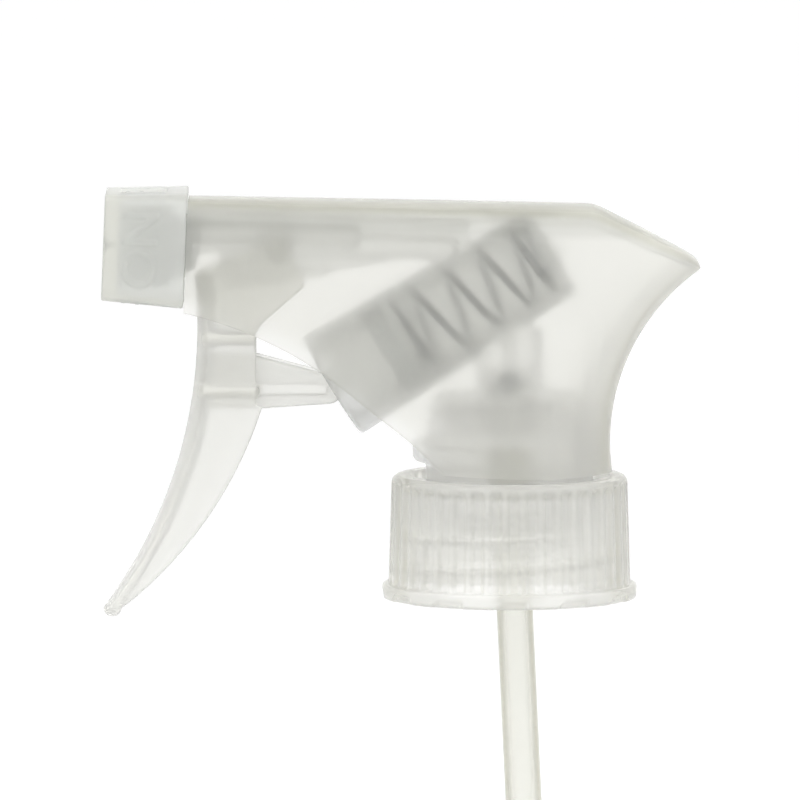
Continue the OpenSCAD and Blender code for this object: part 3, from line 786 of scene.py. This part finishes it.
def build_cap_blank():
    rows = profile_rows()
    rings = []
    for radius, height, _, _ in rows:
        ring = []
        for i in range(columns):
            angle = 2 * math.pi * i / columns
            ring.append((radius * math.cos(angle), radius * math.sin(angle), height))
        rings.append(ring)
    rings.append(rings[0])
    mesh = ring_skin("ribbed_cap", rings)
    grip = mesh.attributes.new("grip", "FLOAT", "POINT")
    thread = mesh.attributes.new("thread", "FLOAT", "POINT")
    for j, row in enumerate(rows + [rows[0]]):
        for i in range(columns):
            grip.data[j * columns + i].value = row[2]
            thread.data[j * columns + i].value = row[3]
    blank_bm = bmesh.new()
    blank_bm.from_mesh(mesh)
    bmesh.ops.remove_doubles(blank_bm, verts=blank_bm.verts, dist=0.001 * MM)
    bmesh.ops.recalc_face_normals(blank_bm, faces=blank_bm.faces)
    blank_bm.to_mesh(mesh)
    blank_bm.free()
    return mesh_object("ribbed_cap", mesh)


cap_blank = build_cap_blank()
print("cap blank:", len(cap_blank.data.vertices), "points")

# %% Geometry node helpers
def start_shape_tree(name, inputs):
    """Geometry node tree with a mesh, inputs given as (name, type, default), and a material."""
    tree = bpy.data.node_groups.new(name, "GeometryNodeTree")
    tree.interface.new_socket("Geometry", in_out="INPUT", socket_type="NodeSocketGeometry")
    for input_name, kind, default in inputs:
        socket = tree.interface.new_socket(input_name, in_out="INPUT", socket_type="NodeSocket" + kind)
        socket.default_value = default
    tree.interface.new_socket("Material", in_out="INPUT", socket_type="NodeSocketMaterial")
    tree.interface.new_socket("Geometry", in_out="OUTPUT", socket_type="NodeSocketGeometry")
    return tree, tree.nodes.new("NodeGroupInput"), tree.nodes.new("NodeGroupOutput")


def end_shape_tree(tree, given, result, geometry):
    """Ends the tree in Realize Instances and Set Material."""
    real = tree.nodes.new("GeometryNodeRealizeInstances")
    paint_it = tree.nodes.new("GeometryNodeSetMaterial")
    tree.links.new(geometry, real.inputs["Geometry"])
    tree.links.new(real.outputs["Geometry"], paint_it.inputs["Geometry"])
    tree.links.new(given.outputs["Material"], paint_it.inputs["Material"])
    tree.links.new(paint_it.outputs["Geometry"], result.inputs["Geometry"])


def grow(piece, tree, **values):
    """Adds the tree to a piece as a modifier and sets its inputs by their sockets' identifiers."""
    modifier = piece.modifiers.new(tree.name, "NODES")
    modifier.node_group = tree
    sockets = {item.name: item.identifier for item in tree.interface.items_tree if item.in_out == "INPUT"}
    for name, value in values.items():
        modifier[sockets[name.replace("_", " ")]] = value


def round_place(tree):
    """Angle round the Z axis in turns, height, and the unit vector away from the axis."""
    position = tree.nodes.new("GeometryNodeInputPosition")
    parts = tree.nodes.new("ShaderNodeSeparateXYZ")
    tree.links.new(position.outputs[0], parts.inputs[0])
    angle = math_node(tree, "ARCTAN2", parts.outputs["Y"], parts.outputs["X"])
    turns = math_node(tree, "DIVIDE", angle, 2 * math.pi)
    flat = tree.nodes.new("ShaderNodeCombineXYZ")
    tree.links.new(parts.outputs["X"], flat.inputs["X"])
    tree.links.new(parts.outputs["Y"], flat.inputs["Y"])
    unit = tree.nodes.new("ShaderNodeVectorMath")
    unit.operation = "NORMALIZE"
    tree.links.new(flat.outputs[0], unit.inputs[0])
    return turns, parts.outputs["Z"], unit.outputs["Vector"]


def press_in(tree, given, result, outward, mask):
    """Ends a tree that moves the points towards the axis by its Depth, as far as the mask says."""
    scale = tree.nodes.new("ShaderNodeVectorMath")
    scale.operation = "SCALE"
    tree.links.new(outward, scale.inputs[0])
    inward = math_node(tree, "MULTIPLY", given.outputs["Depth"], -1.0)
    tree.links.new(math_node(tree, "MULTIPLY", mask, inward), scale.inputs["Scale"])
    move = tree.nodes.new("GeometryNodeSetPosition")
    tree.links.new(given.outputs["Geometry"], move.inputs["Geometry"])
    tree.links.new(scale.outputs["Vector"], move.inputs["Offset"])
    end_shape_tree(tree, given, result, move.outputs["Geometry"])


def attribute(tree, name):
    node = tree.nodes.new("GeometryNodeInputNamedAttribute")
    node.data_type = "FLOAT"
    node.inputs["Name"].default_value = name
    return node.outputs["Attribute"]


# %% Grip ribs
def build_grip_tree():
    inputs = [("Ribs", "Int", 40), ("Depth", "Float", 0.7 * MM)]
    tree, given, result = start_shape_tree("grip_ribs", inputs)
    turns, _, outward = round_place(tree)
    pitch = math_node(tree, "FRACT", math_node(tree, "MULTIPLY", turns, given.outputs["Ribs"]))
    rise = smooth_step(tree, pitch, 0.40, 0.60)
    fall = smooth_step(tree, pitch, 0.82, 1.0)
    valley = math_node(tree, "SUBTRACT", 1.0, math_node(tree, "SUBTRACT", rise, fall))
    press_in(tree, given, result, outward, math_node(tree, "MULTIPLY", valley, attribute(tree, "grip")))
    return tree


grow(cap_blank, build_grip_tree(), Ribs=rib_count, Depth=rib_depth * MM, Material=cap_plastic)
print("grip ribs:", rib_count, "of", round(2 * math.pi * cap_foot_r / rib_count, 2), "mm each")

# %% Neck thread
thread_pitch = 25.4 / 6
thread_depth = 0.45
thread_fade = 0.9


def build_thread_tree():
    """A right-handed thread with sloping flanks, faded in and out at its ends."""
    tree, given, result = start_shape_tree("neck_thread", [
        ("Pitch", "Float", 4.23 * MM), ("Depth", "Float", 0.9 * MM), ("Low", "Float", 1 * MM),
        ("High", "Float", 10 * MM),
    ])
    turns, height, outward = round_place(tree)
    climbed = math_node(tree, "DIVIDE", height, given.outputs["Pitch"])
    helix = math_node(tree, "ADD", math_node(tree, "SUBTRACT", climbed, turns), 8.0)
    phase = math_node(tree, "FRACT", helix)
    climb, drop = smooth_step(tree, phase, 0.25, 0.42), smooth_step(tree, phase, 0.55, 0.75)
    crest = math_node(tree, "SUBTRACT", climb, drop)
    above = math_node(tree, "SUBTRACT", height, given.outputs["Low"])
    below = math_node(tree, "SUBTRACT", given.outputs["High"], height)
    fade_in = smooth_step(tree, above, 0.0, thread_fade * MM)
    fade_out = smooth_step(tree, below, 0.0, thread_fade * MM)
    fade = math_node(tree, "MULTIPLY", fade_in, fade_out)
    faded = math_node(tree, "MULTIPLY", crest, fade)
    press_in(tree, given, result, outward, math_node(tree, "MULTIPLY", faded, attribute(tree, "thread")))
    return tree


grow(
    cap_blank, build_thread_tree(), Pitch=thread_pitch * MM, Depth=thread_depth * MM,
    Low=thread_low * MM, High=thread_high * MM, Material=cap_plastic,
)
print("thread:", round((thread_high - thread_low) / thread_pitch, 2), "turns")

# %% Flange notches
notch_count = 12
notch_depth = 0.4
notch_top_z = 0.95
notch_slant = 1.2
notch_left = (-2.5 * MM, -2.2 * MM)
notch_right = (2.15 * MM, 2.4 * MM)


def build_notch_tree():
    """Shallow notches under the flange, slanted on one side and upright on the other."""
    tree, given, result = start_shape_tree("flange_notches", [
        ("Notches", "Int", 12), ("Depth", "Float", 0.4 * MM), ("Flange radius", "Float", 17 * MM),
        ("Height", "Float", 0.95 * MM),
    ])
    turns, height, outward = round_place(tree)
    notches, flange = given.outputs["Notches"], given.outputs["Flange radius"]
    shifted = math_node(tree, "ADD", math_node(tree, "MULTIPLY", turns, notches), 0.5)
    pitch = math_node(tree, "FRACT", shifted)
    around = math_node(tree, "DIVIDE", math_node(tree, "SUBTRACT", pitch, 0.5), notches)
    reach = math_node(tree, "MULTIPLY", around, math_node(tree, "MULTIPLY", flange, 2 * math.pi))
    slant = math_node(tree, "MULTIPLY", height, notch_slant)
    left = smooth_step(tree, math_node(tree, "SUBTRACT", reach, slant), *notch_left)
    right = smooth_step(tree, reach, *notch_right)
    under = math_node(tree, "SUBTRACT", given.outputs["Height"], height)
    low = smooth_step(tree, under, -0.05 * MM, 0.1 * MM)
    position = tree.nodes.new("GeometryNodeInputPosition")
    flat = tree.nodes.new("ShaderNodeVectorMath")
    flat.operation = "MULTIPLY"
    flat.inputs[1].default_value = (1, 1, 0)
    tree.links.new(position.outputs[0], flat.inputs[0])
    radius = tree.nodes.new("ShaderNodeVectorMath")
    radius.operation = "LENGTH"
    tree.links.new(flat.outputs["Vector"], radius.inputs[0])
    edge = math_node(tree, "SUBTRACT", radius.outputs["Value"], flange)
    outer = smooth_step(tree, edge, -0.5 * MM, -0.3 * MM)
    between = math_node(tree, "SUBTRACT", left, right)
    mask = math_node(tree, "MULTIPLY", between, math_node(tree, "MULTIPLY", low, outer))
    press_in(tree, given, result, outward, mask)
    return tree


grow(
    cap_blank, build_notch_tree(), Notches=notch_count, Depth=notch_depth * MM,
    Flange_radius=flange_r * MM, Height=notch_top_z * MM, Material=cap_plastic,
)
finished(baked(cap_blank), "closure", cap_plastic, "screw_cap")

# %% [markdown]
# ## Return spring
#
# The spring pushes the piston back. It is one wire: a close coil at each end and open coils
# between. Geometry Nodes bend a straight line of points into that coil, turn it into a curve and
# sweep a circle along it. When the lever is pulled the spring flattens towards the closed end of
# the pump.

# %% Wound wire
spring_from = 11.5
spring_to = 33.4
wire_d = 1.0
coil_od = 9.8
open_coils = 3.5
close_pitch = wire_d + 0.45
steps_per_turn = 32


def build_wire_tree():
    tree, given, result = start_shape_tree("wound_wire", [
        ("Points", "Int", 176), ("Turns", "Float", 5.5), ("Coil radius", "Float", 4.4 * MM),
        ("Wire radius", "Float", 0.5 * MM), ("Close pitch", "Float", 1.4 * MM),
        ("Open pitch", "Float", 5 * MM),
    ])
    line = tree.nodes.new("GeometryNodeMeshLine")
    tree.links.new(given.outputs["Points"], line.inputs["Count"])
    index = tree.nodes.new("GeometryNodeInputIndex")
    last_point = math_node(tree, "SUBTRACT", given.outputs["Points"], 1.0)
    share = math_node(tree, "DIVIDE", index.outputs[0], last_point)
    turn = math_node(tree, "MULTIPLY", share, given.outputs["Turns"])
    angle = math_node(tree, "MULTIPLY", turn, 2 * math.pi)
    first = math_node(tree, "MINIMUM", turn, 1.0)
    last_start = math_node(tree, "SUBTRACT", given.outputs["Turns"], 1.0)
    last = math_node(tree, "MAXIMUM", math_node(tree, "SUBTRACT", turn, last_start), 0.0)
    closed = math_node(tree, "ADD", first, last)
    opened = math_node(tree, "SUBTRACT", turn, closed)
    height = math_node(
        tree, "ADD", math_node(tree, "MULTIPLY", closed, given.outputs["Close pitch"]),
        math_node(tree, "MULTIPLY", opened, given.outputs["Open pitch"]),
    )
    place = tree.nodes.new("ShaderNodeCombineXYZ")
    radius = given.outputs["Coil radius"]
    tree.links.new(math_node(tree, "MULTIPLY", math_node(tree, "COSINE", angle), radius), place.inputs["X"])
    tree.links.new(math_node(tree, "MULTIPLY", math_node(tree, "SINE", angle), radius), place.inputs["Y"])
    tree.links.new(height, place.inputs["Z"])
    bend = tree.nodes.new("GeometryNodeSetPosition")
    tree.links.new(line.outputs["Mesh"], bend.inputs["Geometry"])
    tree.links.new(place.outputs[0], bend.inputs["Position"])
    curve = tree.nodes.new("GeometryNodeMeshToCurve")
    tree.links.new(bend.outputs["Geometry"], curve.inputs["Mesh"])
    section = tree.nodes.new("GeometryNodeCurvePrimitiveCircle")
    section.inputs["Resolution"].default_value = 14
    tree.links.new(given.outputs["Wire radius"], section.inputs["Radius"])
    sweep = tree.nodes.new("GeometryNodeCurveToMesh")
    sweep.inputs["Fill Caps"].default_value = True
    tree.links.new(curve.outputs["Curve"], sweep.inputs["Curve"])
    tree.links.new(section.outputs["Curve"], sweep.inputs["Profile Curve"])
    end_shape_tree(tree, given, result, sweep.outputs["Mesh"])
    return tree


def build_spring():
    turns = open_coils + 2
    rise = spring_to - spring_from - wire_d
    open_pitch = (rise - 2 * close_pitch) / open_coils
    wire = mesh_object("coil_spring", bpy.data.meshes.new("coil_spring"))
    grow(
        wire, build_wire_tree(), Points=int(turns * steps_per_turn) + 1, Turns=turns,
        Coil_radius=(coil_od - wire_d) / 2 * MM, Wire_radius=wire_d / 2 * MM,
        Close_pitch=close_pitch * MM, Open_pitch=open_pitch * MM, Material=spring_wire,
    )
    baked(wire)
    wire.data.transform(pump_frame @ Matrix.Translation((0, 0, (spring_from + wire_d / 2) * MM)))
    finished(wire, "head", spring_wire, "return_spring")
    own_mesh(wire)


build_spring()

# %% [markdown]
# ## Dip tube
#
# The tube is extruded, so it is smooth and has one size all along: it leaves its socket straight
# and then leans a little backwards. Geometry Nodes round the bend of a three-point path and sweep
# the outer circle along it. The foot is cut off at a slant, and Solidify gives the wall.

# %% Drawn tube
tube_od = 4.9
tube_id = 3.9
tube_top_z = 19.5
bend_z = 13.4
tube_reach = 170.0
tube_lean = math.radians(2.7)
bend_r = 60.0
foot_slant = math.radians(30)
foot_cut = 1.5


def build_tube_tree():
    inputs = [("Radius", "Float", 2.45 * MM), ("Bend radius", "Float", 60 * MM)]
    tree, given, result = start_shape_tree("drawn_tube", inputs)
    curve = tree.nodes.new("GeometryNodeMeshToCurve")
    tree.links.new(given.outputs["Geometry"], curve.inputs["Mesh"])
    bend = tree.nodes.new("GeometryNodeFilletCurve")
    bend.mode = "POLY"
    bend.inputs["Count"].default_value = 6
    tree.links.new(curve.outputs["Curve"], bend.inputs["Curve"])
    tree.links.new(given.outputs["Bend radius"], bend.inputs["Radius"])
    even = tree.nodes.new("GeometryNodeResampleCurve")
    even.inputs["Count"].default_value = 80
    tree.links.new(bend.outputs["Curve"], even.inputs["Curve"])
    section = tree.nodes.new("GeometryNodeCurvePrimitiveCircle")
    section.inputs["Resolution"].default_value = 64
    tree.links.new(given.outputs["Radius"], section.inputs["Radius"])
    sweep = tree.nodes.new("GeometryNodeCurveToMesh")
    sweep.inputs["Fill Caps"].default_value = False
    tree.links.new(even.outputs["Curve"], sweep.inputs["Curve"])
    tree.links.new(section.outputs["Curve"], sweep.inputs["Profile Curve"])
    end_shape_tree(tree, given, result, sweep.outputs["Mesh"])
    return tree


def build_tube():
    length = (tube_reach + bend_z) / math.cos(tube_lean)
    lean = Vector((math.sin(tube_lean), 0, -math.cos(tube_lean)))
    foot = Vector((0, 0, bend_z)) + lean * length
    path = [Vector((0, 0, tube_top_z)), Vector((0, 0, bend_z)), foot]
    mesh = bpy.data.meshes.new("drawn_dip_tube")
    mesh.from_pydata([point * MM for point in path], [(i, i + 1) for i in range(len(path) - 1)], [])
    tube = mesh_object("drawn_dip_tube", mesh)
    grow(
        tube, build_tube_tree(), Radius=tube_od / 2 * MM, Bend_radius=bend_r * MM,
        Material=tube_plastic,
    )
    baked(tube)
    cut_bm = bmesh.new()
    cut_bm.from_mesh(tube.data)
    slant = Matrix.Rotation(-foot_slant, 3, "Y") @ -lean
    bmesh.ops.bisect_plane(
        cut_bm, geom=cut_bm.verts[:] + cut_bm.edges[:] + cut_bm.faces[:],
        plane_co=(foot - lean * foot_cut) * MM, plane_no=-slant, clear_outer=True,
    )
    bmesh.ops.recalc_face_normals(cut_bm, faces=cut_bm.faces)
    cut_bm.to_mesh(tube.data)
    cut_bm.free()
    wall = tube.modifiers.new("wall", "SOLIDIFY")
    wall.thickness = (tube_od - tube_id) / 2 * MM
    wall.offset = -1
    finished(baked(tube), "head", tube_plastic, "dip_tube")


build_tube()

# %% [markdown]
# ## Lever and nozzle
#
# The CAD solids of these two have all their ribs and hollows but knife-sharp edges. A mould's
# edges are slightly rounded, and on see-through plastic a rounded edge is what draws the outline.
# A fine voxel remesh followed by a little smoothing rounds every edge by about a fifth of a
# millimetre and leaves the faces where they were.

# %% Lever
lever = soft_edged_copy("finger_lever", "trigger", voxel=0.24, passes=4)
finished(lever, "lever", lever_plastic, "trigger")

# %% [markdown]
# The nozzle is turned to close it, so each of its faces says where that face has to point: OFF on
# two of them and ON on the other two, standing a little proud. The words are text curves made into
# meshes, laid on the tapering faces and added to the copied solid, and the voxel remesh then melts
# them into it.

# %% Nozzle's words
nozzle_half = 7.7
nozzle_taper = math.radians(3.1)
word_centre = 5.9
word_size = 6.6
word_root = 0.2
word_relief = 0.18
top_panel_depth = 0.65


def word_mesh(word, turn, sunk, proud):
    """Solid letters on the face that is turned by an angle round the spray axis from the top one."""
    curve = bpy.data.curves.new("word_" + word, "FONT")
    curve.body = word
    curve.size = word_size * MM
    curve.extrude = (sunk + proud) / 2 * MM
    curve.align_x = "CENTER"
    curve.align_y = "CENTER"
    holder = mesh_object("word_" + word, curve)
    graph = bpy.context.evaluated_depsgraph_get()
    mesh = bpy.data.meshes.new_from_object(holder.evaluated_get(graph))
    bpy.data.objects.remove(holder)
    lift = nozzle_half - word_centre * math.tan(nozzle_taper) + (proud - sunk) / 2
    face = Matrix(((0, -math.sin(nozzle_taper), math.cos(nozzle_taper), lift * MM), (1, 0, 0, 0),
                   (0, math.cos(nozzle_taper), math.sin(nozzle_taper), word_centre * MM), (0, 0, 0, 1)))
    mesh.transform(spray_frame @ Matrix.Rotation(math.radians(turn), 4, "Z") @ face)
    return mesh


words = [word_mesh("OFF", 0, top_panel_depth + 0.15, -0.2)]
for word, turn in (("OFF", 180), ("ON", -90), ("ON", 90)):
    words.append(word_mesh(word, turn, word_root, word_relief))
print("words on the nozzle:", [mesh.name for mesh in words])

# %% Nozzle
nozzle_rear = 0.3
nozzle_gap = 0.1


def reach_back(mesh):
    """Brings the nozzle's rear rim up to the shroud, with only a narrow gap left to turn in."""
    into_spray = spray_frame.inverted()
    for vertex in mesh.vertices:
        place = into_spray @ vertex.co
        if place.z < (nozzle_rear + 0.05) * MM:
            place.z = nozzle_gap * MM
            vertex.co = spray_frame @ place


nozzle = soft_edged_copy("square_nozzle", "nozzle_cap", voxel=0.17, passes=3, added=words, reshape=reach_back)
finished(nozzle, "nozzle", nozzle_plastic, "nozzle_cap")

# %% [markdown]
# ## Pump body
#
# The pump body is one moulding: the barrel to the nozzle, the tilted cylinder, the inlet tube and
# the skirt in the cap. The shroud blurs it, so the same way with coarser voxels is enough.

# %% Pump body
body_copy = soft_edged_copy("pump_housing", "pump_body", voxel=0.36, passes=3)
finished(body_copy, "head", pump_plastic, "pump_body")

# %% [markdown]
# ## Inner pieces
#
# The pieces inside the pump and the nozzle are seen only as soft shapes through two walls. Their
# CAD solids are exact already, so they keep them and only get their finish.

# %% Inner pieces
inner_finishes = {
    "piston": inner_plastic, "cylinder_plug": inner_plastic, "spinner": inner_plastic,
    "tube_retainer": inner_plastic, "piston_seal": seal_rubber, "discharge_valve": seal_rubber,
    "neck_gasket": gasket_foam, "inlet_ball": ball_steel,
}
for name, finish in inner_finishes.items():
    nodes[name].data.materials.clear()
    nodes[name].data.materials.append(finish)
print("inner pieces:", ", ".join(inner_finishes))
